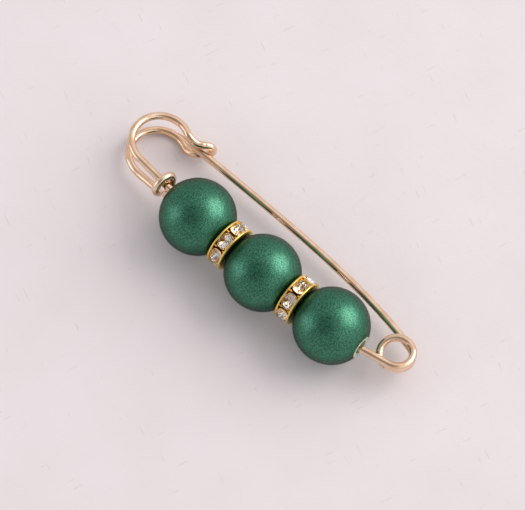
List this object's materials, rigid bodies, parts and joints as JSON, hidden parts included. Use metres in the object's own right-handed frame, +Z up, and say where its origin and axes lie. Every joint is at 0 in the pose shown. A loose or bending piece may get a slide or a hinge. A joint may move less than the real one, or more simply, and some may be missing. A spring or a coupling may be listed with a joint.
{
  "type": "safety pin brooch",
  "caption": "Safety pin brooch of bent wire with a coil spring and an open hook, strung with round satin beads and rhinestone spacers.",
  "frame": {"origin": "on the surface that the brooch lies on, below the middle of its bounding box", "axes": "+X along the bead arm from the hook towards the coil, +Y from the bead arm towards the pin, +Z up"},
  "size_m": [0.058, 0.018, 0.0121],
  "materials": {
    "rose_gold_wire": "polished pale rose gold plating",
    "green_bead": "satin metallic green paint on acrylic",
    "yellow_gold": "polished yellow gold plating",
    "rhinestone": "clear faceted glass, foiled behind"
  },
  "bodies": {
    "frame": {"frame_wire": "rose_gold_wire", "bead_1": "green_bead", "bead_2": "green_bead", "bead_3": "green_bead", "spacer_1": "yellow_gold", "spacer_2": "yellow_gold", "stone_1_1": "rhinestone", "stone_1_2": "rhinestone", "stone_1_3": "rhinestone", "stone_1_4": "rhinestone", "stone_1_5": "rhinestone", "stone_1_6": "rhinestone", "stone_1_7": "rhinestone", "stone_2_1": "rhinestone", "stone_2_2": "rhinestone", "stone_2_3": "rhinestone", "stone_2_4": "rhinestone", "stone_2_5": "rhinestone", "stone_2_6": "rhinestone", "stone_2_7": "rhinestone"},
    "pin": {"pin_arm": "rose_gold_wire"}
  },
  "joints": [
    {"name": "pin_swing", "type": "hinge", "parent": "frame", "child": "pin", "pos_m": [0.02582, 0.0012, 0.00336], "axis": [0, 0.1574, 0.9875], "range_deg": [0, 4.5], "stiffness_Nm_per_rad": 0.005, "springref_deg": -5.73}
  ]
}
